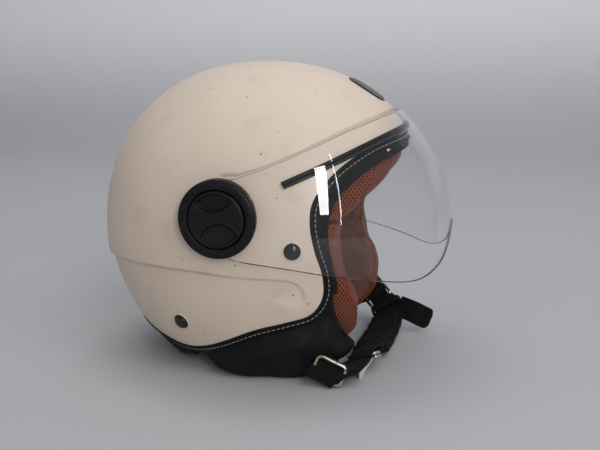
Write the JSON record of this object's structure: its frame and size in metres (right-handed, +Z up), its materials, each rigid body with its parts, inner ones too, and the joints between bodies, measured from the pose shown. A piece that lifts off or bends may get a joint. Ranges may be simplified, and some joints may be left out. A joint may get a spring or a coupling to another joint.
{
  "type": "open face motorcycle helmet",
  "caption": "Open face motorcycle helmet with a clear bubble visor that tilts on side pivots, padded cloth lining, leatherette skirt and a webbing chin strap on metal rings.",
  "frame": {"origin": "centre of the bounding box at the table that the helmet rests on", "axes": "+Z up; the wearer looks along -Y; +X is the wearer's left; the visor tilts about an axis along X"},
  "size_m": [0.2516, 0.2986, 0.249],
  "materials": {
    "shell_paint": "cream paint under clear coat, satin gloss, fine dark specks",
    "eps_foam": "expanded polystyrene foam, matte",
    "mesh_fabric": "terracotta perforated spacer mesh",
    "cheek_fabric": "brushed red-brown fabric over foam",
    "leatherette": "black grained leatherette",
    "trim_rubber": "black edge piping",
    "seal_rubber": "black rubber, satin",
    "badge_plastic": "dark blank badge",
    "visor_clear": "clear polycarbonate, polished",
    "black_plastic": "moulded black plastic, fine matte texture",
    "zinc_steel": "zinc plated",
    "rivet_plastic": "black domed plug, glossy",
    "webbing": "black woven polyester webbing",
    "chrome": "polished plated steel"
  },
  "bodies": {
    "helmet": {"outer_shell": "shell_paint", "eps_liner": "eps_foam", "crown_liner": "mesh_fabric", "brow_pad": "mesh_fabric", "cheek_pad_left": "cheek_fabric", "cheek_pad_right": "cheek_fabric", "cheek_skirt_left": "leatherette", "cheek_skirt_right": "leatherette", "face_border": "leatherette", "neck_roll": "leatherette", "nape_pad": "cheek_fabric", "edge_trim": "trim_rubber", "visor_seal_strip": "seal_rubber", "forehead_badge": "badge_plastic", "pivot_base_left": "black_plastic", "pivot_base_right": "black_plastic", "pivot_nut_left": "zinc_steel", "pivot_nut_right": "zinc_steel", "strap_rivet_front_left": "rivet_plastic", "strap_rivet_front_right": "rivet_plastic", "strap_rivet_rear_left": "rivet_plastic", "strap_rivet_rear_right": "rivet_plastic", "strap_leg_front_left": "webbing", "strap_leg_front_right": "webbing", "strap_leg_rear_left": "webbing", "strap_leg_rear_right": "webbing", "strap_ring_left": "chrome", "strap_ring_right": "chrome", "chin_strap_long": "webbing", "chin_pad": "webbing", "chin_strap_short": "webbing", "d_ring_inner": "chrome", "d_ring_outer": "chrome", "strap_tail": "webbing"},
    "visor": {"visor_lens": "visor_clear", "pivot_cover_left": "black_plastic", "pivot_cover_right": "black_plastic"},
    "knob_left": {"pivot_knob_left": "black_plastic", "pivot_screw_left": "zinc_steel"},
    "knob_right": {"pivot_knob_right": "black_plastic", "pivot_screw_right": "zinc_steel"},
    "keeper": {"strap_keeper": "webbing"}
  },
  "joints": [
    {"name": "visor_tilt", "type": "hinge", "parent": "helmet", "child": "visor", "pos_m": [0, 0.0189, 0.1347], "axis": [-1, 0, 0], "range_deg": [0, 58]},
    {"name": "knob_left_turn", "type": "hinge", "parent": "helmet", "child": "knob_left", "pos_m": [0.12, 0.0189, 0.1347], "axis": [1, 0, 0], "range_deg": [0, 90]},
    {"name": "knob_right_turn", "type": "hinge", "parent": "helmet", "child": "knob_right", "pos_m": [-0.12, 0.0189, 0.1347], "axis": [-1, 0, 0], "range_deg": [0, 90]},
    {"name": "keeper_slide", "type": "slide", "parent": "helmet", "child": "keeper", "axis": [-0.9045, -0.3015, -0.3015], "range_m": [0, 0.004]}
  ]
}
